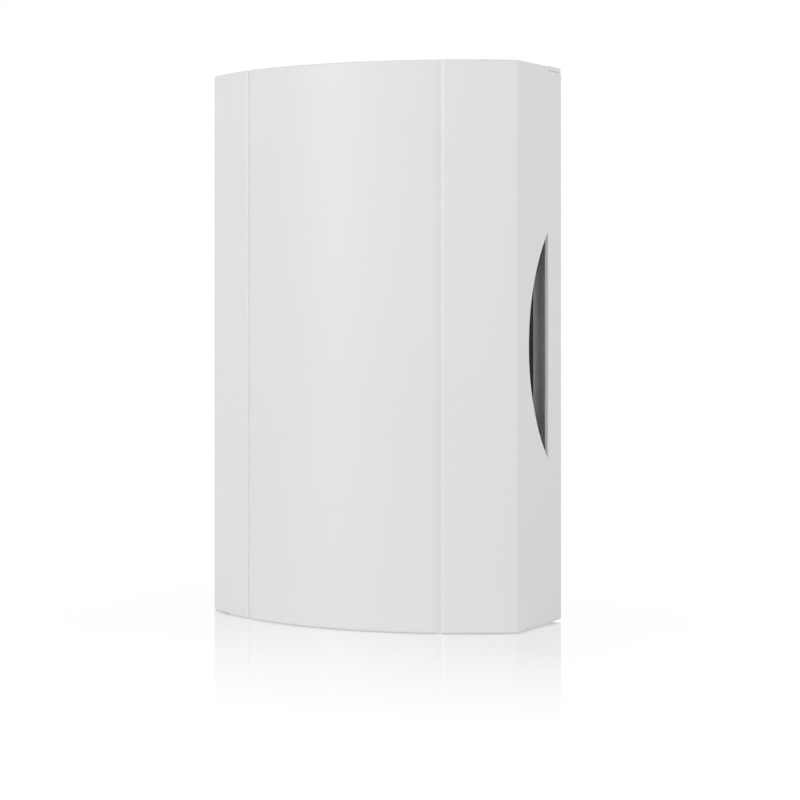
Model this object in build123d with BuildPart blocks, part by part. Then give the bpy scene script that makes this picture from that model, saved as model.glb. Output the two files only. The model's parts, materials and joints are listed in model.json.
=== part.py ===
"""Wired two-note door chime: a white moulded box with a bowed cover for a wall.

Frame: millimetres, +Z up, +X to the viewer's right, the wall at Y = 0 and the front towards -Y.
The origin is the centre of the back face, where the chime meets the wall.
A "depth" is always a distance out from the wall, so a depth of d lies at Y = -d.

Inside, a steel plunger slides along X through a coil. Switched on, it flies right and strikes the
short high bar; switched off, its spring throws it left against the long low bar.
"""

import os
from math import sqrt

from build123d import *

os.makedirs("parts", exist_ok=True)

# ------------------------------------------------------------------ driving dimensions
# Case
height = 190.0  # overall, top to bottom
width = 120.0  # overall, side to side
base_depth = 10.7  # wall to the seam between base and cover
side_depth = 23.45  # seam to the corner where the bowed front starts
bow = 20.85  # rise of the bowed front above those corners
cover_wall = 2.0
base_wall = 1.2
base_floor = 2.0
seam_gap = 0.1  # between the cover's rim and the base's
top_fit = 0.03  # between the cover's top lip and the base's top
side_step = 0.1  # the base's sides stand in from the cover's by this much
top_lip = 1.4  # thickness of the cover's top where it reaches back over the base
wall_gap = 1.0  # from the end of that lip to the wall
foot_step = 0.55  # the base's bottom edge stands up from the cover's
corner_radius = 1.5  # side-to-front corner of the cover
cover_edge_radius = 0.9  # round on the outer top and bottom edges
base_edge_radius = 0.35
base_top_radius = 0.9

# Decorative V grooves in the bowed front: a long slope on the centre plane's side, then a small
# steep step and a short slope on the other
groove_offset = 37.4  # centre plane to the bottom of the V
groove_depth = 0.85
groove_inner = 1.8  # from the bottom to the edge on the centre plane's side
groove_outer = 1.4  # from the bottom to the other edge
groove_step = 0.35  # height of the step
groove_step_lean = 0.15  # how far the step leans out
groove_root_radius = 0.15

# Sound openings in both sides, open to the seam
sound_chord = 77.0  # along the seam
sound_rise = 15.4  # from the seam to the top of the arc
sound_edge_radius = 0.4

# Lips on the base that the cover pushes over
lip_fit = 0.2  # between a lip and the cover's wall
lip_wall = 1.6
lip_rise = 3.0  # above the rim
side_lip_length = 9.0
side_lip_offset = 87.0  # height of its middle above or below the centre
end_lip_length = 24.0
end_lip_offset = 30.0
grip_rib_radius = 0.6  # half-round ribs on the end lips grip the cover's wall
grip_rib_offset = 8.0
grip_fit = 0.05

# Fixing to the wall
keyhole_spacing = 70.0
keyhole_height = 76.0  # seat of the screw shank above the centre
keyhole_travel = 7.0  # from the head's entry up to the seat
keyhole_head_radius = 4.6
fixing_radius = 2.25
fixing_spacing = 70.0
fixing_drop = 76.0  # lower holes below the centre
fixing_pad_radius = 5.5
fixing_pad_rise = 1.2
cable_entry_width = 24.0
cable_entry_height = 12.0
cable_entry_drop = 66.0
cable_entry_radius = 3.0
floor_rib = 1.2
floor_rib_rise = 1.6
floor_rib_offset = 14.0  # ribs either side of the centre plane

# Chassis that carries the mechanism
chassis_beyond_lugs = 6.9  # from the outermost lug to the plate's top or bottom edge
chassis_plate = 1.8
chassis_corner = 4.0
chassis_edge_rib = 1.2
chassis_edge_rise = 1.6
chassis_boss_inset_x = 12.5  # from the plate's edges to the screws
chassis_boss_inset_z = 6.0
boss_radius = 3.2
boss_rise = 3.9  # above the base's floor
boss_hole_depth = 5.0
cup_wall = 1.7
cup_top = 1.5
fit = 0.1  # radial or facing clearance between pieces that are assembled together
screw_radius = 1.45
screw_hole_radius = 1.5
screw_head_radius = 2.9
screw_head = 1.8
screw_slot = 0.8
screw_slot_depth = 0.9

# Tone bars, their rubber grommets and their pins
bar_thickness = 2.5
bar_width = 11.0
bar_top_depth = 14.4  # the bars' front edge
bar_inset = 4.0  # cover's outer side to a bar's outer face
high_bar_length = 144.0
low_bar_length = 161.6
bar_corner = 1.5
bar_node = 0.276  # nodal lines from the middle, as a share of a free bar's length
bar_hole_radius = 3.5
grommet_flange = 0.9
grommet_flange_radius = 5.0
grommet_edge_radius = 0.3
pin_radius = 1.45
pin_head_radius = 2.75
pin_head = 0.7
lug_thickness = 3.8
lug_height = 9.0  # along Z
lug_beyond = 4.4  # from the pins' axis to the lugs' front
running = 0.05  # radial clearance of a round piece in its hole

# Solenoid
yoke_metal = 1.5
yoke_gap = 39.0  # between the legs
yoke_width = 16.0
yoke_leg_top = 19.3
flange_size = 15.0
flange_thickness = 1.5
barrel_wall = 0.95
snout = 1.4  # how far the barrel stands past a leg
coil_radius = 7.2
tape_thickness = 0.2
tape_length = 30.0
hook_wall = 1.8
hook_width = 4.0
hook_catch = 0.95
hook_head = 2.1

# Plunger and its spring
plunger_radius = 3.5
core_length = 42.0
core_start = -27.5  # left end of the steel core at rest
rest_to_low_bar = 1.5
rest_to_high_bar = 8.5
striker_radius = 2.0
striker_nose_radius = 2.4
spigot_radius = 1.6
spigot_length = 6.0
collar_radius = 5.2
collar_thickness = 1.5
spring_length = 17.0
spring_wire = 0.6
spring_radius = 4.3  # mean
spring_turns = 6.0

# Terminal block
terminal_drop = 34.0
terminal_pitch = 15.0
pole_width = 8.6
pole_length = 16.0
pole_height = 10.0
pedestal_rise = 2.0
web_thickness = 4.0
web_length = 11.0
tube_radius = 2.2
tube_bore_radius = 1.4
tube_length = 14.0
tube_height = 3.6  # tube axis above the block's foot
terminal_screw_radius = 1.3
terminal_screw_offset = 4.2  # either side of the block's middle
terminal_screw_length = 4.4
chimney_radius = 1.9

# Coil leads
lead_radius = 0.65
lead_start_x = 13.0
lead_bend_radius = 4.0

# ------------------------------------------------------------------ derived places
wall = Plane.XZ  # its normal is -Y, so wall.offset(d) is the plane at depth d
corner_depth = base_depth + side_depth
front_depth = corner_depth + bow
bow_radius = (width**2 / 4 + bow**2) / (2 * bow)
bow_centre = front_depth - bow_radius  # depth of the bow's axis
cover_back = base_depth + seam_gap
inner_side = width / 2 - cover_wall
inner_end = height / 2 - cover_wall
sound_radius = (sound_chord**2 / 4 + sound_rise**2) / (2 * sound_rise)

base_side = width / 2 - side_step
base_top = height / 2 - top_lip - top_fit
base_bottom = -height / 2 + foot_step
tray_depth = base_depth - base_floor
plate_top = base_floor + chassis_plate

bar_outer = width / 2 - bar_inset
bar_inner = bar_outer - bar_thickness
bar_axis_depth = bar_top_depth - bar_width / 2
lug_outer = bar_inner - grommet_flange - fit
lug_inner = lug_outer - lug_thickness
lug_top = bar_axis_depth + lug_beyond
outermost_lug = bar_node * low_bar_length + lug_height / 2
chassis_width = 2 * lug_outer
chassis_height = 2 * (outermost_lug + chassis_beyond_lugs)
chassis_boss_x = chassis_width / 2 - chassis_boss_inset_x
chassis_boss_z = chassis_height / 2 - chassis_boss_inset_z
low_bar_side, high_bar_side = -1, 1

axis_depth = base_floor + yoke_metal + flange_size / 2 + fit
strike = Plane(origin=(0, -axis_depth, 0), x_dir=(0, 1, 0), z_dir=(1, 0, 0))  # across the plunger
leg_inner = yoke_gap / 2
leg_outer = leg_inner + yoke_metal
bore_radius = plunger_radius + running
barrel_radius = bore_radius + barrel_wall
snout_end = leg_outer + snout
plunger_left = -(bar_inner - rest_to_low_bar)
plunger_right = bar_inner - rest_to_high_bar
core_end = core_start + core_length
spring_start = -snout_end - fit  # fixed end
collar_face = spring_start - spring_length - fit

block_foot = plate_top + pedestal_rise
tube_depth = block_foot + tube_height
block_front = block_foot + pole_height
terminal_screw_tip = tube_depth + lead_radius + running


def bow_surface(x):
    """Depth of the cover's outer front at a given X."""
    return bow_centre + sqrt(bow_radius**2 - x**2)


def save(piece, name):
    """Label a finished piece and write it to its own STEP file."""
    piece.part.label = name
    export_step(piece.part, f"parts/{name}.step")


# ------------------------------------------------------------------ front cover
def bowed_outline(side, back, radius):
    """Plan of a bowed block: straight sides and back, and a front arc about the bow's axis."""
    corner = bow_centre + sqrt(radius**2 - side**2)
    with BuildSketch() as plan:
        with BuildLine():
            Polyline((side, -corner), (side, -back), (-side, -back), (-side, -corner))
            ThreePointArc((-side, -corner), (0, -(bow_centre + radius)), (side, -corner))
        make_face()
    return plan.sketch


with BuildPart() as front_cover:
    with BuildSketch() as cover_plan:
        add(bowed_outline(width / 2, cover_back, bow_radius))
        front_corners = cover_plan.vertices().sort_by(Axis.Y)[0:2]
        fillet(front_corners, corner_radius)
    extrude(amount=height / 2, both=True)
    end_faces = front_cover.faces().filter_by(Axis.Z)
    rim_edges = end_faces.edges().filter_by(lambda e: e.center().Y < -cover_back - fit)
    fillet(rim_edges, cover_edge_radius)
    with BuildSketch() as groove_plan:
        for side in (-1, 1):
            inner = side * (groove_offset - groove_inner)
            bottom = side * groove_offset
            step = side * (groove_offset + groove_step_lean)
            outer = side * (groove_offset + groove_outer)
            with BuildLine():
                Polyline(
                    (inner, -bow_surface(inner)),
                    (bottom, -bow_surface(bottom) + groove_depth),
                    (step, -bow_surface(step) + groove_depth - groove_step),
                    (outer, -bow_surface(outer)),
                    (outer, -front_depth - groove_depth),
                    (inner, -front_depth - groove_depth),
                    close=True,
                )
            make_face()
        groove_roots = groove_plan.vertices().filter_by(
            lambda v: abs(abs(v.X) - groove_offset) < 2 * groove_step_lean
        )
        fillet(groove_roots, groove_root_radius)
    extrude(amount=height / 2, both=True, mode=Mode.SUBTRACT)
    with BuildSketch():
        add(bowed_outline(inner_side, 0, bow_radius - cover_wall))
    extrude(amount=inner_end, both=True, mode=Mode.SUBTRACT)
    with BuildSketch(Plane.YZ):
        with Locations((-(base_depth + sound_rise - sound_radius), 0)):
            Circle(sound_radius)
    extrude(amount=width, both=True, mode=Mode.SUBTRACT)
    sound_edges = front_cover.edges().filter_by(GeomType.CIRCLE).filter_by(
        lambda e: abs(abs(e.center().X) - width / 2) < fit
    )
    fillet(sound_edges, sound_edge_radius)
    with BuildSketch(wall.offset(wall_gap)):
        with Locations((0, height / 2 - top_lip / 2)):
            Rectangle(width, top_lip)
    extrude(amount=cover_back - wall_gap)
save(front_cover, "front_cover")

# ------------------------------------------------------------------ base
with BuildPart() as base:
    with BuildSketch(wall):
        with Locations((0, (base_top + base_bottom) / 2)):
            Rectangle(2 * base_side, base_top - base_bottom)
    extrude(amount=base_depth)
    fillet(base.edges().filter_by(Axis.X).group_by(Axis.Z)[-1], base_top_radius)
    side_edges = base.faces().filter_by(Axis.X).edges().filter_by(
        lambda e: e.center().Z < base_top - base_top_radius
    )
    back_foot = base.faces().sort_by(Axis.Y)[-1].edges().sort_by(Axis.Z)[0]
    fillet(side_edges + [back_foot], base_edge_radius)
    with BuildSketch(wall.offset(base_floor)):
        with Locations((0, (base_top + base_bottom) / 2)):
            Rectangle(2 * (base_side - base_wall), base_top - base_bottom - 2 * base_wall)
    extrude(amount=tray_depth, mode=Mode.SUBTRACT)

    # lips on the four sides: each is rooted in the wall and stands up inside the cover
    for side in (-1, 1):
        for end in (-1, 1):
            rim_middle = base_side - base_wall / 2
            lip_foot = inner_side - lip_fit - lip_wall
            with BuildSketch(wall.offset(base_floor)):
                with Locations((side * (lip_foot + rim_middle) / 2, end * side_lip_offset)):
                    Rectangle(rim_middle - lip_foot, side_lip_length)
            extrude(amount=tray_depth)
            with BuildSketch(wall.offset(base_depth)):
                with Locations((side * (lip_foot + lip_wall / 2), end * side_lip_offset)):
                    Rectangle(lip_wall, side_lip_length)
            extrude(amount=lip_rise)
            rim_middle = (base_top if end > 0 else -base_bottom) - base_wall / 2
            lip_foot = inner_end - lip_fit - lip_wall
            with BuildSketch(wall.offset(base_floor)):
                with Locations((side * end_lip_offset, end * (lip_foot + rim_middle) / 2)):
                    Rectangle(end_lip_length, rim_middle - lip_foot)
            extrude(amount=tray_depth)
            with BuildSketch(wall.offset(base_depth)):
                with Locations((side * end_lip_offset, end * (lip_foot + lip_wall / 2))):
                    Rectangle(end_lip_length, lip_wall)
            extrude(amount=lip_rise)
            with BuildSketch(wall.offset(base_depth - base_edge_radius)):
                with Locations((side * end_lip_offset, end * (inner_end - grip_fit - grip_rib_radius))):
                    with GridLocations(2 * grip_rib_offset, 0, 2, 1):
                        Circle(grip_rib_radius)
            extrude(amount=lip_rise)

    # bosses for the chassis screws
    with BuildSketch(wall.offset(base_floor)):
        with GridLocations(2 * chassis_boss_x, 2 * chassis_boss_z, 2, 2):
            Circle(boss_radius)
    extrude(amount=boss_rise)
    with BuildSketch(wall.offset(base_floor + boss_rise)):
        with GridLocations(2 * chassis_boss_x, 2 * chassis_boss_z, 2, 2):
            Circle(screw_hole_radius)
    extrude(amount=-boss_hole_depth, mode=Mode.SUBTRACT)

    # pads round the wall fixings, and stiffening ribs
    with BuildSketch(wall.offset(base_floor)):
        with Locations((0, -fixing_drop)):
            with GridLocations(fixing_spacing, 0, 2, 1):
                Circle(fixing_pad_radius)
        with Locations((0, keyhole_height - keyhole_travel / 2)):
            with GridLocations(keyhole_spacing, 0, 2, 1):
                SlotCenterToCenter(keyhole_travel, 2 * fixing_pad_radius + 2, rotation=90)
    extrude(amount=fixing_pad_rise)
    rib_start = chassis_height / 2 + 2
    upper_rib = base_top - base_wall - rib_start
    with BuildSketch(wall.offset(base_floor)):
        with Locations((0, rib_start + upper_rib / 2)):
            with GridLocations(2 * floor_rib_offset, 0, 2, 1):
                Rectangle(floor_rib, upper_rib)
        with Locations((0, -cable_entry_drop)):
            RectangleRounded(
                cable_entry_width + 2 * floor_rib,
                cable_entry_height + 2 * floor_rib,
                cable_entry_radius + floor_rib,
            )
    extrude(amount=floor_rib_rise)

    # holes through the floor
    with BuildSketch(wall):
        with Locations((0, -cable_entry_drop)):
            RectangleRounded(cable_entry_width, cable_entry_height, cable_entry_radius)
        with Locations((0, -fixing_drop)):
            with GridLocations(fixing_spacing, 0, 2, 1):
                Circle(fixing_radius)
        with Locations((0, keyhole_height - keyhole_travel)):
            with GridLocations(keyhole_spacing, 0, 2, 1):
                Circle(keyhole_head_radius)
        with Locations((0, keyhole_height - keyhole_travel / 2)):
            with GridLocations(keyhole_spacing, 0, 2, 1):
                SlotCenterToCenter(keyhole_travel, 2 * fixing_radius, rotation=90)
    extrude(amount=base_depth, mode=Mode.SUBTRACT)
save(base, "base")

# ------------------------------------------------------------------ chassis
bar_sets = {
    "high": (high_bar_side, high_bar_length),
    "low": (low_bar_side, low_bar_length),
}

with BuildPart() as chassis:
    with BuildSketch(wall.offset(base_floor)):
        RectangleRounded(chassis_width, chassis_height, chassis_corner)
        Rectangle(2 * (leg_outer + fit), yoke_width + 2 * fit, mode=Mode.SUBTRACT)
    extrude(amount=chassis_plate)
    with BuildSketch(wall.offset(plate_top)):
        RectangleRounded(chassis_width, chassis_height, chassis_corner)
        RectangleRounded(
            chassis_width - 2 * chassis_edge_rib,
            chassis_height - 2 * chassis_edge_rib,
            chassis_corner - chassis_edge_rib,
            mode=Mode.SUBTRACT,
        )
    extrude(amount=chassis_edge_rise)

    # cups that drop over the base's bosses
    cup_front = base_floor + boss_rise + fit + cup_top
    with BuildSketch(wall.offset(base_floor)):
        with GridLocations(2 * chassis_boss_x, 2 * chassis_boss_z, 2, 2):
            Circle(boss_radius + fit + cup_wall)
    extrude(amount=cup_front - base_floor)
    with BuildSketch(wall.offset(base_floor)):
        with GridLocations(2 * chassis_boss_x, 2 * chassis_boss_z, 2, 2):
            Circle(boss_radius + fit)
    extrude(amount=boss_rise + fit, mode=Mode.SUBTRACT)
    with BuildSketch(wall.offset(base_floor)):
        with GridLocations(2 * chassis_boss_x, 2 * chassis_boss_z, 2, 2):
            Circle(screw_hole_radius + fit)
    extrude(amount=cup_front, mode=Mode.SUBTRACT)

    # lugs that hold the bars' pins
    for side, length in bar_sets.values():
        for end in (-1, 1):
            lug_z = end * bar_node * length
            with BuildSketch(wall.offset(base_floor)):
                with Locations((side * (lug_inner + lug_outer) / 2, lug_z)):
                    Rectangle(lug_thickness, lug_height)
            extrude(amount=lug_top - base_floor)
            with BuildSketch(Plane.YZ.offset(side * lug_inner - side * fit)):
                with Locations((-bar_axis_depth, lug_z)):
                    Circle(pin_radius + running)
            extrude(amount=side * (lug_thickness + 2 * fit), mode=Mode.SUBTRACT)

    # snap hooks that hold the solenoid's legs
    for side in (-1, 1):
        for end in (-1, 1):
            hook_face = end * (yoke_width / 2 + fit)
            catch = yoke_leg_top + fit
            with BuildSketch(Plane.YZ.offset(side * (leg_inner + leg_outer) / 2)):
                with BuildLine():
                    Polyline(
                        (-base_floor, hook_face + end * hook_wall),
                        (-base_floor, hook_face),
                        (-catch, hook_face),
                        (-catch, hook_face - end * hook_catch),
                        (-catch - hook_head / 3, hook_face - end * hook_catch),
                        (-catch - hook_head, hook_face + end * hook_wall / 3),
                        (-catch - hook_head, hook_face + end * hook_wall),
                        close=True,
                    )
                make_face()
            extrude(amount=hook_width / 2, both=True)

    # pedestal under the terminal block
    with BuildSketch(wall.offset(base_floor)):
        with Locations((0, -terminal_drop)):
            Rectangle(terminal_pitch + pole_width, web_length)
    extrude(amount=block_foot - base_floor)
    with BuildSketch(wall.offset(block_foot)):
        with Locations((0, -terminal_drop)):
            Circle(screw_hole_radius)
    extrude(amount=-(block_foot - base_floor), mode=Mode.SUBTRACT)
save(chassis, "chassis")


def pan_screw(x, z, seat, tip):
    """A slotted pan-head screw driven towards the wall: head on depth seat, shank ending at tip."""
    with BuildPart() as screw:
        with BuildSketch(wall.offset(tip)):
            with Locations((x, z)):
                Circle(screw_radius)
        extrude(amount=seat - tip)
        with BuildSketch(wall.offset(seat)):
            with Locations((x, z)):
                Circle(screw_head_radius)
        extrude(amount=screw_head)
        fillet(screw.faces().sort_by(Axis.Y)[0].edges(), screw_head / 2)
        with BuildSketch(wall.offset(seat + screw_head)):
            with Locations((x, z)):
                Rectangle(2 * screw_head_radius, screw_slot, rotation=30)
        extrude(amount=-screw_slot_depth, mode=Mode.SUBTRACT)
    return screw.part


with BuildPart() as chassis_screws:
    for x in (-chassis_boss_x, chassis_boss_x):
        for z in (-chassis_boss_z, chassis_boss_z):
            add(pan_screw(x, z, cup_front, base_floor + boss_rise - boss_hole_depth + fit))
save(chassis_screws, "chassis_screws")

# ------------------------------------------------------------------ tone bars
for name, (side, length) in bar_sets.items():
    node_z = bar_node * length
    with BuildPart() as tone_bar:
        with BuildSketch(Plane.YZ.offset(side * bar_inner)):
            with Locations((-bar_axis_depth, 0)):
                RectangleRounded(bar_width, length, bar_corner)
                with GridLocations(0, 2 * node_z, 1, 2):
                    Circle(bar_hole_radius, mode=Mode.SUBTRACT)
        extrude(amount=side * bar_thickness)
    save(tone_bar, f"tone_bar_{name}")

    for end, end_name in ((1, "upper"), (-1, "lower")):
        centre = (-bar_axis_depth, end * node_z)
        with BuildPart() as grommet:
            for start, thickness, radius in (
                (bar_inner - grommet_flange, grommet_flange, grommet_flange_radius),
                (bar_inner, bar_thickness, bar_hole_radius - running),
                (bar_outer, grommet_flange, grommet_flange_radius),
            ):
                with BuildSketch(Plane.YZ.offset(side * start)):
                    with Locations(centre):
                        Circle(radius)
                extrude(amount=side * thickness)
            flange_rims = grommet.edges().filter_by(GeomType.CIRCLE).filter_by(
                lambda e: e.radius > bar_hole_radius
            )
            fillet(flange_rims, grommet_edge_radius)
            with BuildSketch(Plane.YZ.offset(side * lug_outer)):
                with Locations(centre):
                    Circle(pin_radius + running)
            extrude(amount=side * width, mode=Mode.SUBTRACT)
        save(grommet, f"grommet_{name}_{end_name}")

        head_seat = bar_outer + grommet_flange + running
        with BuildPart() as bar_pin:
            with BuildSketch(Plane.YZ.offset(side * lug_inner)):
                with Locations(centre):
                    Circle(pin_radius)
            extrude(amount=side * (head_seat - lug_inner))
            with BuildSketch(Plane.YZ.offset(side * head_seat)):
                with Locations(centre):
                    Circle(pin_head_radius)
            extrude(amount=side * pin_head)
            head_face = bar_pin.faces().filter_by(Axis.X).sort_by(Axis.X)[-1 if side > 0 else 0]
            fillet(head_face.edges(), pin_head / 3)
        save(bar_pin, f"bar_pin_{name}_{end_name}")

# ------------------------------------------------------------------ solenoid
with BuildPart() as solenoid_yoke:
    with BuildSketch(wall.offset(base_floor)):
        Rectangle(2 * leg_outer, yoke_width)
    extrude(amount=yoke_metal)
    for side in (-1, 1):
        with BuildSketch(wall.offset(base_floor)):
            with Locations((side * (leg_inner + leg_outer) / 2, 0)):
                Rectangle(yoke_metal, yoke_width)
        extrude(amount=yoke_leg_top - base_floor)
    bends = solenoid_yoke.edges().filter_by(Axis.Z).group_by(Axis.Y)[-1]
    fillet(bends, yoke_metal / 2)
    with BuildSketch(strike.offset(-leg_outer)):
        Circle(barrel_radius + fit)
    extrude(amount=2 * leg_outer, mode=Mode.SUBTRACT)
save(solenoid_yoke, "solenoid_yoke")

with BuildPart() as solenoid_bobbin:
    with BuildSketch(strike.offset(-snout_end)):
        Circle(barrel_radius)
    extrude(amount=2 * snout_end)
    for face in (-leg_inner + running, leg_inner - running - flange_thickness):
        with BuildSketch(strike.offset(face)):
            RectangleRounded(flange_size, flange_size, 1.5)
        extrude(amount=flange_thickness)
    with BuildSketch(strike.offset(-snout_end)):
        Circle(bore_radius)
    extrude(amount=2 * snout_end, mode=Mode.SUBTRACT)
save(solenoid_bobbin, "solenoid_bobbin")

winding_half = leg_inner - running - flange_thickness - fit
with BuildPart() as coil_winding:
    with BuildSketch(strike.offset(-winding_half)):
        Circle(coil_radius)
        Circle(barrel_radius + running, mode=Mode.SUBTRACT)
    extrude(amount=2 * winding_half)
save(coil_winding, "coil_winding")

with BuildPart() as coil_tape:
    with BuildSketch(strike.offset(-tape_length / 2)):
        Circle(coil_radius + running + tape_thickness)
        Circle(coil_radius + running, mode=Mode.SUBTRACT)
    extrude(amount=tape_length)
save(coil_tape, "coil_tape")

# ------------------------------------------------------------------ plunger
with BuildPart() as plunger_core:
    with BuildSketch(strike.offset(core_start)):
        Circle(plunger_radius)
    extrude(amount=core_length)
    ends = plunger_core.faces().filter_by(Axis.X)
    chamfer(ends.edges(), 0.4)
    for face, inward in ((core_start, 1), (core_end, -1)):
        with BuildSketch(strike.offset(face)):
            Circle(spigot_radius)
        extrude(amount=inward * spigot_length, mode=Mode.SUBTRACT)
save(plunger_core, "plunger_core")


def striker_rod(root, tip, outward):
    """A nylon rod from the core's end to its ball nose, with a spigot inside the core."""
    with BuildPart() as rod:
        with BuildSketch(strike.offset(root - outward * (spigot_length - fit))):
            Circle(spigot_radius - running)
        extrude(amount=outward * (spigot_length - fit))
        with BuildSketch(strike.offset(root)):
            Circle(striker_radius)
        extrude(amount=outward * (abs(tip - root) - striker_nose_radius))
        with Locations((tip - outward * striker_nose_radius, -axis_depth, 0)):
            Sphere(striker_nose_radius)
    return rod.part


with BuildPart() as striker_high:
    add(striker_rod(core_end, plunger_right, 1))
save(striker_high, "striker_high")

with BuildPart() as striker_low:
    add(striker_rod(core_start, plunger_left, -1))
    with BuildSketch(strike.offset(collar_face)):
        Circle(collar_radius)
    extrude(amount=-collar_thickness)
save(striker_low, "striker_low")

with BuildPart() as return_spring:
    coil_start = spring_start - spring_wire / 2
    coil_height = spring_length - spring_wire
    with BuildLine():
        spring_line = Helix(
            pitch=coil_height / spring_turns,
            height=coil_height,
            radius=spring_radius,
            center=(coil_start, -axis_depth, 0),
            direction=(-1, 0, 0),
        )
    with BuildSketch(Plane(origin=spring_line @ 0, z_dir=spring_line % 0)):
        Circle(spring_wire / 2)
    sweep(path=spring_line, is_frenet=True)
save(return_spring, "return_spring")

# ------------------------------------------------------------------ terminal block
block_plane = wall.offset(block_foot)
with BuildPart() as terminal_block:
    with BuildSketch(block_plane):
        with Locations((0, -terminal_drop)):
            with GridLocations(terminal_pitch, 0, 2, 1):
                Rectangle(pole_width, pole_length)
    extrude(amount=pole_height)
    pole_edges = terminal_block.edges().filter_by(Axis.Z).group_by(Axis.Y)[0]
    fillet(pole_edges, pole_width / 5)
    with BuildSketch(block_plane):
        with Locations((0, -terminal_drop)):
            Rectangle(terminal_pitch, web_length)
    extrude(amount=web_thickness)
    with BuildSketch(block_plane):
        with Locations((0, -terminal_drop)):
            Circle(screw_hole_radius + fit)
    extrude(amount=web_thickness, mode=Mode.SUBTRACT)
    with BuildSketch(Plane.XY.offset(-terminal_drop)):
        with Locations((0, -tube_depth)):
            with GridLocations(terminal_pitch, 0, 2, 1):
                Circle(tube_radius + running)
    extrude(amount=pole_length, both=True, mode=Mode.SUBTRACT)
    with BuildSketch(wall.offset(tube_depth)):
        with Locations((0, -terminal_drop)):
            with GridLocations(terminal_pitch, 2 * terminal_screw_offset, 2, 2):
                Circle(chimney_radius)
    extrude(amount=pole_height, mode=Mode.SUBTRACT)
save(terminal_block, "terminal_block")

with BuildPart() as terminal_tubes:
    with BuildSketch(Plane.XY.offset(-terminal_drop)):
        with Locations((0, -tube_depth)):
            with GridLocations(terminal_pitch, 0, 2, 1):
                Circle(tube_radius)
                Circle(tube_bore_radius, mode=Mode.SUBTRACT)
    extrude(amount=tube_length / 2, both=True)
    with BuildSketch(wall.offset(tube_depth)):
        with Locations((0, -terminal_drop)):
            with GridLocations(terminal_pitch, 2 * terminal_screw_offset, 2, 2):
                Circle(terminal_screw_radius + running)
    extrude(amount=pole_height, mode=Mode.SUBTRACT)
save(terminal_tubes, "terminal_tubes")

with BuildPart() as terminal_screws:
    with BuildSketch(wall.offset(terminal_screw_tip)):
        with Locations((0, -terminal_drop)):
            with GridLocations(terminal_pitch, 2 * terminal_screw_offset, 2, 2):
                Circle(terminal_screw_radius)
    extrude(amount=terminal_screw_length)
    with BuildSketch(wall.offset(terminal_screw_tip + terminal_screw_length)):
        with Locations((0, -terminal_drop)):
            with GridLocations(terminal_pitch, 2 * terminal_screw_offset, 2, 2):
                Rectangle(2 * terminal_screw_radius, screw_slot / 2)
    extrude(amount=-screw_slot_depth, mode=Mode.SUBTRACT)
save(terminal_screws, "terminal_screws")

with BuildPart() as terminal_block_screw:
    add(pan_screw(0, -terminal_drop, block_foot + web_thickness, base_floor + fit))
save(terminal_block_screw, "terminal_block_screw")

# ------------------------------------------------------------------ coil leads
# Each leaves the coil's tape, swings in and enters the top of its terminal tube.
lead_top = -(coil_radius + running + tape_thickness)
lead_end = -terminal_drop + tube_length / 2 - 5.0
for name, side in (("lead_supply", 1), ("lead_return", -1)):
    route = [
        (side * lead_start_x, -axis_depth, lead_top),
        (side * lead_start_x, -axis_depth, lead_top - 8.0),
        (side * terminal_pitch / 2, -tube_depth, lead_top - 15.5),
        (side * terminal_pitch / 2, -tube_depth, lead_end),
    ]
    with BuildPart() as lead:
        with BuildLine() as lead_path:
            FilletPolyline(*route, radius=lead_bend_radius)
        with BuildSketch(Plane(origin=route[0], z_dir=(0, 0, -1))):
            Circle(lead_radius)
        sweep(path=lead_path.wires()[0])
    save(lead, name)
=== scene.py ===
"""A wired two-note door chime on a white table, dressed for rendering.

Metres, +Z up, +X to the viewer's right, the wall side at Y = 0 and the front towards -Y. Every
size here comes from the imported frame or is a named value. The chime stands on the cover's foot.
"""

import json
from math import cos, pi, radians, sin, tau

import bpy
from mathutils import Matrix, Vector


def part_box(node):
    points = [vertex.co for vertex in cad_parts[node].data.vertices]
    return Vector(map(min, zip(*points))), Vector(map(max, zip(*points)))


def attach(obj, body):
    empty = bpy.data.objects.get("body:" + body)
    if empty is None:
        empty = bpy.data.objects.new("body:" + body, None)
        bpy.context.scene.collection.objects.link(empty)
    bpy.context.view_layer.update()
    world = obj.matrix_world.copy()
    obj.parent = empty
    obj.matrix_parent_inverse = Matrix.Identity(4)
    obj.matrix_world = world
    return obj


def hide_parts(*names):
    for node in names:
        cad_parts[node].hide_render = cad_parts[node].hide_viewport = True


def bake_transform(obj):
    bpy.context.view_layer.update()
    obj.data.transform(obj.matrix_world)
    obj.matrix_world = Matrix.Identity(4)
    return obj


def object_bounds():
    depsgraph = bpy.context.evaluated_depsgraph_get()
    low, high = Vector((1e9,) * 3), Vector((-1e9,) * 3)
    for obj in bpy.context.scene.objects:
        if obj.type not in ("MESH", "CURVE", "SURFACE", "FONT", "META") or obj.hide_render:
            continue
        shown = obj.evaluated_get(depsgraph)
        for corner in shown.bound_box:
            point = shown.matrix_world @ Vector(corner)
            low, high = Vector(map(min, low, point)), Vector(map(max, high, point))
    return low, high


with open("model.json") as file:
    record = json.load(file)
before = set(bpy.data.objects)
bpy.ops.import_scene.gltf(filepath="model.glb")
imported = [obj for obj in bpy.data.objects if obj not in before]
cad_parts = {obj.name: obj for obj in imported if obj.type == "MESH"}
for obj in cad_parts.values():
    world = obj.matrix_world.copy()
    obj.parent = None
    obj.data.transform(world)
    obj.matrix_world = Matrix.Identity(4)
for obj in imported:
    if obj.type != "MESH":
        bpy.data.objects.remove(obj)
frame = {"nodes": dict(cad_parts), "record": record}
cad_low, cad_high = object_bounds()

MM = 0.001

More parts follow.
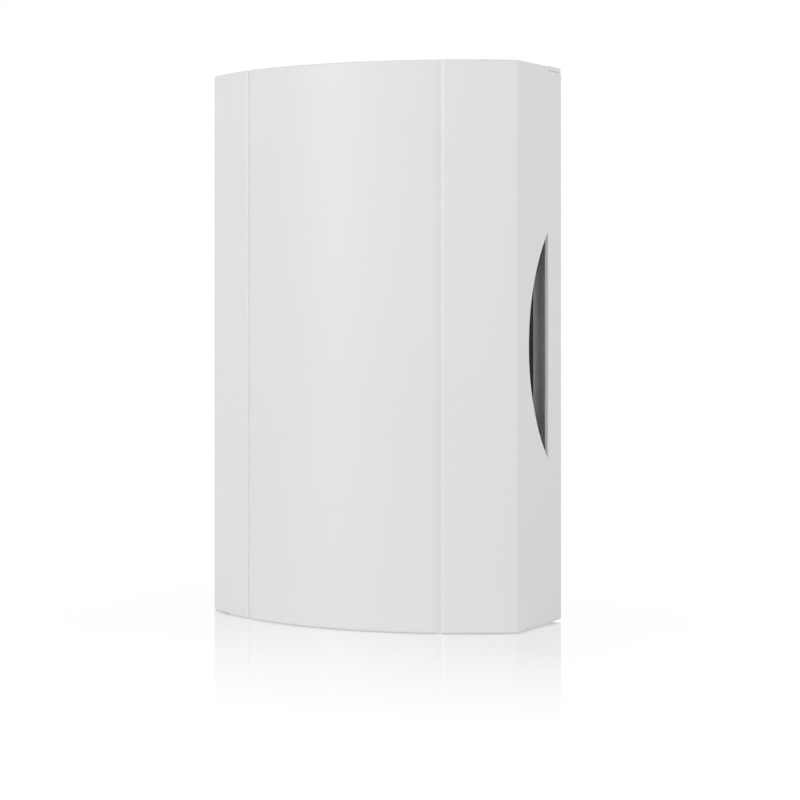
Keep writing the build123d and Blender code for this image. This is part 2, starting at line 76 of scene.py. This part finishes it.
# ------------------------------------------------------------------ camera
VIEW_AZIMUTH = radians(28.41)  # the camera stands this far round to the right of straight ahead
VIEW_DISTANCE = 808.7 * MM  # along the line of sight, to the middle of the back face
VIEW_ASIDE = 2.83 * MM  # the camera stands this far left of that line
VIEW_HEIGHT = 15.96 * MM  # above the middle of the back face
LENS = 102.0  # focal length in millimetres
LENS_SHIFT = -0.127
SENSOR_WIDTH = 36.0  # millimetres

# ------------------------------------------------------------------ table and light
FLOOR_SIZE = 6.0
FLOOR_GREY = 0.97
FLOOR_MIRROR = 0.52  # share of mirror reflection at the foot of the chime
FLOOR_MIRROR_REACH = 138 * MM  # the reflection has faded out at this distance
FLOOR_MIRROR_BLUR = 0.04
FLOOR_SHADOW = 0.12  # share of real, shadowed floor at the foot of the chime
FLOOR_SHADOW_REACH = 60 * MM

FILL_LEVEL = 0.55  # world light on the object
SOFT_BOXES = {  # degrees, metres and watts
    "key": dict(azimuth=-20, elevation=30, distance=1.6, width=0.9, height=0.9, power=4.0),
    "strip": dict(azimuth=-28, elevation=8, distance=1.6, width=0.2, height=0.8, power=4.2),
    "side": dict(azimuth=80, elevation=30, distance=1.5, width=0.8, height=0.8, power=4.5),
}

# ------------------------------------------------------------------ finishes
WHITE = (1.0, 1.0, 1.0, 1.0)
NOISE_LOW = 0.25  # most of a noise's values lie between these two
NOISE_HIGH = 0.75

PLASTIC_BLOTCH = 45 * MM  # size of the flow blotches
PLASTIC_GRAIN = 0.35 * MM  # size of the spark-eroded grain
PLASTIC_BUMP = 0.6  # strength of the grain's relief
PLASTIC_GLOSS_SPREAD = 0.03  # how far the roughness varies each way
COAT_ROUGHNESS = 0.25

METAL_BLOTCH = 9 * MM
METAL_RELIEF = 0.004 * MM
METAL_BUMP = 0.5
METAL_GLOSS_SPREAD = 0.07
EDGE_TURNED = 0.6  # a face whose normal has less than this share of X is a cut edge, and gets the full painted shade
EDGE_FLAT = 0.9  # and one with more than this is the bar's flat side, left without painted shade

RUBBER_BLOOM = 1.5 * MM  # size of the dusty patches
RUBBER_RELIEF = 0.02 * MM
RUBBER_BUMP = 0.7
RUBBER_DARKER = 0.6
RUBBER_ROUGHNESS = (0.65, 0.85)

# How a grain is stretched: a small share along one axis draws it out that way
EVEN = (1.0, 1.0, 1.0)
ALONG_Z = (1.0, 1.0, 0.02)
ROUND_X = (1.0, 0.05, 0.05)  # turning marks round the X axis

# ------------------------------------------------------------------ details of the mechanism
SMOOTH_ANGLE = radians(40)  # sharper edges than this stay sharp

SPRING_WIRE = 0.6 * MM
SPRING_DEAD_TURNS = 0.9  # closed turns at each end
SPRING_ACTIVE_TURNS = 5.4
SPRING_STEPS = 36  # per turn
SPRING_SIDES = 12  # round the wire

WINDING_WIRE = 0.32 * MM
WINDING_BORE = 4.55 * MM  # radius
WINDING_STEPS = 6  # per turn
WINDING_SIDES = 40
WINDING_CREST = 0.6  # under 1 makes each turn's ridge round

TAPE_THICKNESS = 0.09 * MM
TAPE_TURNS = 1.12
TAPE_END_ANGLE = radians(60)  # where the tape's free end lies, round the coil
TAPE_STEPS = 110  # along the tape
TAPE_RIBS = 60  # across it
TAPE_TEETH = 20  # pinking along the free end
TAPE_TOOTH = 0.035  # radians
TAPE_TOOTH_FADE = 12  # the higher, the nearer the teeth keep to the free end


# ------------------------------------------------------------------ node helpers
class Nodes:
    """A small wrapper that adds and links shader nodes in one tree."""

    def __init__(self, tree, output="ShaderNodeOutputMaterial"):
        self.tree = tree
        tree.nodes.clear()
        self.output = self.add(output)

    def add(self, kind, inputs=None, **settings):
        """Add a node, set its properties, and set or link its inputs."""
        node = self.tree.nodes.new(kind)
        for name, value in settings.items():
            setattr(node, name, value)
        for name, value in (inputs or {}).items():
            if isinstance(value, bpy.types.NodeSocket):
                self.tree.links.new(value, node.inputs[name])
            else:
                node.inputs[name].default_value = value
        return node

    def math(self, operation, first, second=0.0):
        """A Math node's result."""
        return self.add("ShaderNodeMath", {0: first, 1: second}, operation=operation).outputs[0]

    def vector_math(self, operation, first, second=(0.0, 0.0, 0.0)):
        """A Vector Math node."""
        return self.add("ShaderNodeVectorMath", {0: first, 1: second}, operation=operation)

    def map_range(self, value, low, high, new_low, new_high):
        """A value moved from one range to another, and kept inside it."""
        inputs = {
            "Value": value,
            "From Min": low,
            "From Max": high,
            "To Min": new_low,
            "To Max": new_high,
        }
        return self.add("ShaderNodeMapRange", inputs).outputs["Result"]

    def mix(self, factor, first, second):
        """A mix of two shaders."""
        inputs = {0: factor, 1: first.outputs[0], 2: second.outputs[0]}
        return self.add("ShaderNodeMixShader", inputs)

    def finish(self, shader):
        """Send a shader to the output."""
        self.tree.links.new(shader.outputs[0], self.output.inputs["Surface"])


def new_material(name):
    """An empty node material and its wrapper."""
    material = bpy.data.materials.new(name)
    material.use_nodes = True
    return material, Nodes(material.node_tree)


def object_point(nodes, stretch=EVEN):
    """Object coordinates in metres, scaled along each axis."""
    place = nodes.add("ShaderNodeTexCoord").outputs["Object"]
    return nodes.add("ShaderNodeMapping", {"Vector": place, "Scale": stretch}).outputs["Vector"]


def noise(nodes, point, size, detail, roughness=0.5):
    """Noise whose blotches are about size metres across."""
    inputs = {"Vector": point, "Scale": 1.0 / size, "Detail": detail, "Roughness": roughness}
    return nodes.add("ShaderNodeTexNoise", inputs).outputs["Fac"]


def spread(nodes, value, low, high):
    """Map a noise value to a range."""
    return nodes.map_range(value, NOISE_LOW, NOISE_HIGH, low, high)


def vary(nodes, value, middle, each_way):
    """Move a value each way from its middle with a noise value."""
    return spread(nodes, value, middle - each_way, middle + each_way)


def tint(nodes, value, colour, darker):
    """A colour that runs from a darker shade to itself with a noise value."""
    first, second, result = 6, 7, 2  # the node's colour sockets, whose names aren't their own
    factor = spread(nodes, value, 0.0, 1.0)
    inputs = {
        "Factor": factor,
        first: [c * darker for c in colour] + [1.0],
        second: list(colour) + [1.0],
    }
    return nodes.add("ShaderNodeMix", inputs, data_type="RGBA").outputs[result]


def bump(nodes, height, strength, relief):
    """A normal raised by a noise value, relief metres at full height."""
    inputs = {"Strength": strength, "Distance": relief, "Height": height}
    return nodes.add("ShaderNodeBump", inputs).outputs["Normal"]


def painted_edge_shade(nodes, colour, share):
    """Painted shade: darken the faces that don't look along X, such as the cut edges of a bar, to a
    share, standing in for the shade they lie in.
    """
    normal = nodes.add("ShaderNodeTexCoord").outputs["Normal"]
    across = nodes.add("ShaderNodeSeparateXYZ", {"Vector": normal}).outputs["X"]
    facing = nodes.math("ABSOLUTE", across)
    shade = nodes.map_range(facing, EDGE_TURNED, EDGE_FLAT, share, 1.0)
    inputs = {"Vector": colour, "Scale": shade}
    return nodes.add("ShaderNodeVectorMath", inputs, operation="SCALE").outputs["Vector"]


# ------------------------------------------------------------------ materials
def plastic(name, colour, roughness, relief=0.012 * MM, darker=0.985, coat=0.0):
    """Moulded plastic: an even colour with faint flow blotches and a fine spark-eroded grain."""
    material, nodes = new_material(name)
    point = object_point(nodes)
    blotches = noise(nodes, point, PLASTIC_BLOTCH, detail=3.0)
    grain = noise(nodes, point, PLASTIC_GRAIN, detail=3.0, roughness=0.6)
    inputs = {
        "Base Color": tint(nodes, blotches, colour, darker),
        "Roughness": vary(nodes, grain, roughness, PLASTIC_GLOSS_SPREAD),
        "Normal": bump(nodes, grain, PLASTIC_BUMP, relief),
        "Coat Weight": coat,
        "Coat Roughness": COAT_ROUGHNESS,
    }
    nodes.finish(nodes.add("ShaderNodeBsdfPrincipled", inputs))
    return material


def metal(name, colour, roughness, grain, stretch=EVEN, darker=0.8, edges=None):
    """Bare metal with a grain, drawn out along stretch. When a share is given in edges, the faces
    that don't look along X, such as cut edges, are darkened to it as painted shade.
    """
    material, nodes = new_material(name)
    lines = noise(nodes, object_point(nodes, stretch), grain, detail=4.0, roughness=0.65)
    blotches = noise(nodes, object_point(nodes), METAL_BLOTCH, detail=4.0)
    tone = tint(nodes, blotches, colour, darker)
    # painted shade: the faces that don't look along X are darkened to the share in edges
    if edges is not None:
        tone = painted_edge_shade(nodes, tone, edges)
    inputs = {
        "Base Color": tone,
        "Metallic": 1.0,
        "Roughness": vary(nodes, lines, roughness, METAL_GLOSS_SPREAD),
        "Normal": bump(nodes, lines, METAL_BUMP, METAL_RELIEF),
    }
    nodes.finish(nodes.add("ShaderNodeBsdfPrincipled", inputs))
    return material


def rubber(name, colour):
    """Matt rubber with a dusty bloom."""
    material, nodes = new_material(name)
    dust = noise(nodes, object_point(nodes), RUBBER_BLOOM, detail=5.0, roughness=0.7)
    inputs = {
        "Base Color": tint(nodes, dust, colour, RUBBER_DARKER),
        "Roughness": spread(nodes, dust, *RUBBER_ROUGHNESS),
        "Normal": bump(nodes, dust, RUBBER_BUMP, RUBBER_RELIEF),
    }
    nodes.finish(nodes.add("ShaderNodeBsdfPrincipled", inputs))
    return material


# One for each of the record's slots: colour, roughness and, for a metal, the size of its grain
MATERIALS = {
    "white_abs": plastic("white_abs", (0.80, 0.80, 0.80), 0.42),
    "grey_abs": plastic("grey_abs", (0.07, 0.07, 0.075), 0.5, relief=0.02 * MM, darker=0.9),
    # the bar's edge faces get painted shade, darkened to 0.52 of the face colour
    "bar_steel": metal(
        "bar_steel", (0.97, 0.97, 0.97), 0.18, 0.25 * MM, ALONG_Z, darker=0.97, edges=0.52
    ),
    "pin_steel": metal("pin_steel", (0.62, 0.62, 0.60), 0.28, 0.3 * MM),
    "zinc_steel": metal("zinc_steel", (0.66, 0.66, 0.64), 0.30, 0.5 * MM),
    "core_steel": metal("core_steel", (0.50, 0.50, 0.50), 0.32, 0.12 * MM, ROUND_X),
    "spring_steel": metal("spring_steel", (0.58, 0.58, 0.57), 0.25, 0.2 * MM),
    "black_rubber": rubber("black_rubber", (0.03, 0.03, 0.03)),
    "natural_nylon": plastic("natural_nylon", (0.78, 0.75, 0.66), 0.4, darker=0.95, coat=0.15),
    "enamelled_copper": metal("enamelled_copper", (0.60, 0.27, 0.12), 0.22, 0.4 * MM),
    "coil_tape": plastic("coil_tape", (0.72, 0.60, 0.18), 0.3, relief=0.03 * MM, darker=0.9),
    "terminal_plastic": plastic("terminal_plastic", (0.76, 0.75, 0.70), 0.38, darker=0.95, coat=0.1),
    "terminal_brass": metal("terminal_brass", (0.78, 0.58, 0.26), 0.3, 0.2 * MM, ALONG_Z),
    "lead_red": plastic("lead_red", (0.55, 0.03, 0.03), 0.35, darker=0.85, coat=0.2),
    "lead_black": plastic("lead_black", (0.03, 0.03, 0.03), 0.35, darker=0.85, coat=0.2),
}


def dress_nodes():
    """Give every CAD node the material of its slot."""
    for row in frame["record"]["subparts"]:
        data = frame["nodes"][row["node"]].data
        data.materials.clear()
        data.materials.append(MATERIALS[row["material_slot"]])


# ------------------------------------------------------------------ mesh helpers
def link(thing):
    """Put an object into the scene."""
    bpy.context.scene.collection.objects.link(thing)


def add_piece(name, points, faces, slot, node):
    """A smooth mesh piece that stands for a CAD node."""
    mesh = bpy.data.meshes.new(name)
    mesh.from_pydata(points, [], faces)
    mesh.shade_smooth()
    mesh.set_sharp_from_angle(angle=SMOOTH_ANGLE)
    mesh.materials.append(MATERIALS[slot])
    piece = bpy.data.objects.new(name, mesh)
    link(piece)
    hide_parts(node)
    return piece


def round_x(centre, x, radius, angle):
    """A point at an angle round the line along X through centre."""
    return Vector((x, centre.y + radius * cos(angle), centre.z + radius * sin(angle)))


def grid_faces(rows, columns):
    """Quads between rows of points whose columns close round on themselves."""
    faces = []
    for row in range(rows - 1):
        for column in range(columns):
            after = (column + 1) % columns
            near = row * columns
            far = near + columns
            faces.append((near + column, near + after, far + after, far + column))
    return faces


def cap_faces(rows, columns):
    """The two flat ends of such a grid."""
    last = (rows - 1) * columns
    return [tuple(reversed(range(columns))), tuple(range(last, last + columns))]


def wire_mesh(path, radius, sides):
    """Points and faces of a round wire along a path, with flat ends."""
    points = []
    normal = Vector((0, 0, 1))
    for index, centre in enumerate(path):
        ahead = path[min(index + 1, len(path) - 1)]
        behind = path[max(index - 1, 0)]
        along = (ahead - behind).normalized()
        normal = (normal - along * normal.dot(along)).normalized()
        across = along.cross(normal)
        for side in range(sides):
            angle = tau * side / sides
            points.append(centre + radius * (normal * cos(angle) + across * sin(angle)))
    faces = grid_faces(len(path), sides) + cap_faces(len(path), sides)
    return points, faces


# ------------------------------------------------------------------ pieces of the mechanism
def make_spring():
    """The return spring: open turns between closed ends. On the chime its ends are fixed to the coil
    and to the plunger, but this piece is parented to no body.
    """
    low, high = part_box("return_spring")
    centre = (low + high) / 2
    radius = (high.z - low.z - SPRING_WIRE) / 2
    turns = SPRING_ACTIVE_TURNS + 2 * SPRING_DEAD_TURNS
    open_length = high.x - low.x - SPRING_WIRE - 2 * SPRING_DEAD_TURNS * SPRING_WIRE
    pitch = open_length / SPRING_ACTIVE_TURNS
    path = []
    for step in range(round(turns * SPRING_STEPS) + 1):
        turn = step / SPRING_STEPS
        active = min(max(turn - SPRING_DEAD_TURNS, 0.0), SPRING_ACTIVE_TURNS)
        dead = turn - active
        x = high.x - SPRING_WIRE / 2 - dead * SPRING_WIRE - active * pitch
        path.append(round_x(centre, x, radius, tau * turn))
    points, faces = wire_mesh(path, SPRING_WIRE / 2, SPRING_SIDES)
    piece = add_piece("spring_wire", points, faces, "spring_steel", "return_spring")
    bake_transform(piece)


def make_winding():
    """Enamelled wire wound side by side round the bobbin's barrel: each turn is a rounded ridge.

    The outside is followed by two rows at the bore's radius, which close both ends and the bore.
    """
    low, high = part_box("coil_winding")
    centre = (low + high) / 2
    outer = (high.z - low.z) / 2
    turns = int((high.x - low.x) / WINDING_WIRE)
    rows = turns * WINDING_STEPS + 1
    points = []
    for row in range(rows):
        x = low.x + (high.x - low.x) * row / (rows - 1)
        for column in range(WINDING_SIDES):
            share = column / WINDING_SIDES
            ridge = abs(sin(pi * (row / WINDING_STEPS + share))) ** WINDING_CREST
            radius = outer - WINDING_WIRE / 2 * (1 - ridge)
            points.append(round_x(centre, x, radius, tau * share))
    for x in (high.x, low.x):
        for column in range(WINDING_SIDES):
            points.append(round_x(centre, x, WINDING_BORE, tau * column / WINDING_SIDES))
    faces = grid_faces(rows + 2, WINDING_SIDES)
    last = (rows + 1) * WINDING_SIDES
    for column in range(WINDING_SIDES):
        after = (column + 1) % WINDING_SIDES
        faces.append((last + column, last + after, after, column))
    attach(add_piece("winding_turns", points, faces, "enamelled_copper", "coil_winding"), "base")


def tape_faces():
    """Faces of the tape: a grid of point pairs, inner and outer, closed along all four edges."""
    row = 2 * (TAPE_RIBS + 1)
    faces = []
    for step in range(TAPE_STEPS):
        for rib in range(TAPE_RIBS):
            inner = step * row + 2 * rib
            outer = inner + 1
            faces.append((inner, inner + row, inner + row + 2, inner + 2))
            faces.append((outer, outer + 2, outer + row + 2, outer + row))
        first = step * row
        last = first + 2 * TAPE_RIBS
        faces.append((first, first + 1, first + row + 1, first + row))
        faces.append((last, last + row, last + row + 1, last + 1))
    for rib in range(TAPE_RIBS):
        near = 2 * rib
        far = TAPE_STEPS * row + 2 * rib
        faces.append((near, near + 2, near + 3, near + 1))
        faces.append((far, far + 1, far + 3, far + 2))
    return faces


def make_tape():
    """Yellow tape wrapped a little over once round the coil, with a pinked free end."""
    low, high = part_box("coil_tape")
    centre = (low + high) / 2
    outer = (high.z - low.z) / 2
    winding_low, winding_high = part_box("coil_winding")
    inner = (winding_high.z - winding_low.z) / 2
    points = []
    for step in range(TAPE_STEPS + 1):
        share = step / TAPE_STEPS
        start = inner + (outer - TAPE_THICKNESS - inner) * share
        turned = TAPE_END_ANGLE + tau * TAPE_TURNS * (share - 1)
        for rib in range(TAPE_RIBS + 1):
            along = rib / TAPE_RIBS
            tooth = abs((along * TAPE_TEETH) % 1.0 - 0.5)
            angle = turned + TAPE_TOOTH * tooth * share**TAPE_TOOTH_FADE
            x = low.x + (high.x - low.x) * along
            for radius in (start, start + TAPE_THICKNESS):
                points.append(round_x(centre, x, radius, angle))
    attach(add_piece("tape_wrap", points, tape_faces(), "coil_tape", "coil_tape"), "base")


# ------------------------------------------------------------------ stage
def white_for_camera(nodes):
    """1 for rays that see the background: camera, glossy and transmission rays."""
    path = nodes.add("ShaderNodeLightPath").outputs
    seen = nodes.math("MAXIMUM", path["Is Camera Ray"], path["Is Glossy Ray"])
    return nodes.math("MAXIMUM", seen, path["Is Transmission Ray"])


def make_world():
    """An even white studio: white behind everything, and a softer fill on the object."""
    world = bpy.data.worlds.new("studio")
    bpy.context.scene.world = world
    world.use_nodes = True
    nodes = Nodes(world.node_tree, "ShaderNodeOutputWorld")
    strength = nodes.map_range(white_for_camera(nodes), 0.0, 1.0, FILL_LEVEL, 1.0)
    nodes.finish(nodes.add("ShaderNodeBackground", {"Color": WHITE, "Strength": strength}))


def distance_outside(nodes):
    """Distance along the floor from the chime's rectangle, and 0 under it."""
    half = (cad_high - cad_low) / 2
    middle = (cad_high + cad_low) / 2
    place = nodes.add("ShaderNodeNewGeometry").outputs["Position"]
    from_middle = nodes.vector_math("SUBTRACT", place, middle).outputs["Vector"]
    absolute = nodes.vector_math("ABSOLUTE", from_middle).outputs["Vector"]
    # so much is taken off along Z that height adds nothing
    foot = (half.x, half.y, FLOOR_SIZE)
    beyond = nodes.vector_math("SUBTRACT", absolute, foot).outputs["Vector"]
    outside = nodes.vector_math("MAXIMUM", beyond).outputs["Vector"]
    return nodes.vector_math("LENGTH", outside).outputs["Value"]


def floor_material():
    """A pale gloss that keeps the contact shadow and a reflection, both fading with distance.

    Light that bounces off the floor sees a plain pale surface.
    """
    material, nodes = new_material("floor")
    distance = distance_outside(nodes)
    white = nodes.add("ShaderNodeEmission", {"Strength": 1.0})
    lit = nodes.add("ShaderNodeBsdfDiffuse", {"Color": (FLOOR_GREY, FLOOR_GREY, FLOOR_GREY, 1.0)})
    mirror = nodes.add("ShaderNodeBsdfGlossy", {"Color": WHITE, "Roughness": FLOOR_MIRROR_BLUR})
    shadow_share = nodes.map_range(distance, 0.0, FLOOR_SHADOW_REACH, FLOOR_SHADOW, 0.0)
    table = nodes.mix(shadow_share, white, lit)
    mirror_share = nodes.map_range(distance, 0.0, FLOOR_MIRROR_REACH, FLOOR_MIRROR, 0.0)
    seen = nodes.mix(mirror_share, table, mirror)
    nodes.finish(nodes.mix(white_for_camera(nodes), lit, seen))
    return material


def make_floor():
    """The table top, at the cover's foot."""
    mesh = bpy.data.meshes.new("floor")
    reach = FLOOR_SIZE / 2
    corners = [(-reach, -reach, 0), (reach, -reach, 0), (reach, reach, 0), (-reach, reach, 0)]
    mesh.from_pydata(corners, [], [(0, 1, 2, 3)])
    mesh.materials.append(floor_material())
    floor = bpy.data.objects.new("floor", mesh)
    floor.location.z = cad_low.z
    link(floor)


def make_soft_box(name, azimuth, elevation, distance, width, height, power):
    """A soft box aimed at the middle of the chime. Azimuth 0 is straight ahead of its front."""
    lamp = bpy.data.lights.new(name, "AREA")
    lamp.shape = "RECTANGLE"
    lamp.size = width
    lamp.size_y = height
    lamp.energy = power
    turn, rise = radians(azimuth), radians(elevation)
    towards = Vector((cos(rise) * sin(turn), -cos(rise) * cos(turn), sin(rise)))
    holder = bpy.data.objects.new(name, lamp)
    holder.location = (cad_low + cad_high) / 2 + distance * towards
    holder.rotation_euler = (-towards).to_track_quat("-Z", "Y").to_euler()
    link(holder)


def make_camera():
    """A level camera with a falling front, as for a product shot with upright edges."""
    lens = bpy.data.cameras.new("camera")
    lens.sensor_width = SENSOR_WIDTH
    lens.lens = LENS
    lens.shift_y = LENS_SHIFT
    camera = bpy.data.objects.new("camera", lens)
    back = Vector((sin(VIEW_AZIMUTH), -cos(VIEW_AZIMUTH), 0.0))
    aside = Vector((cos(VIEW_AZIMUTH), sin(VIEW_AZIMUTH), 0.0))
    camera.location = back * VIEW_DISTANCE - aside * VIEW_ASIDE + Vector((0, 0, VIEW_HEIGHT))
    camera.rotation_euler = (pi / 2, 0.0, VIEW_AZIMUTH)
    link(camera)
    bpy.context.scene.camera = camera


# ------------------------------------------------------------------ the scene
bpy.context.scene.view_settings.view_transform = "Standard"
dress_nodes()
make_spring()
make_winding()
make_tape()
make_world()
make_floor()
for name, values in SOFT_BOXES.items():
    make_soft_box(name, **values)
make_camera()
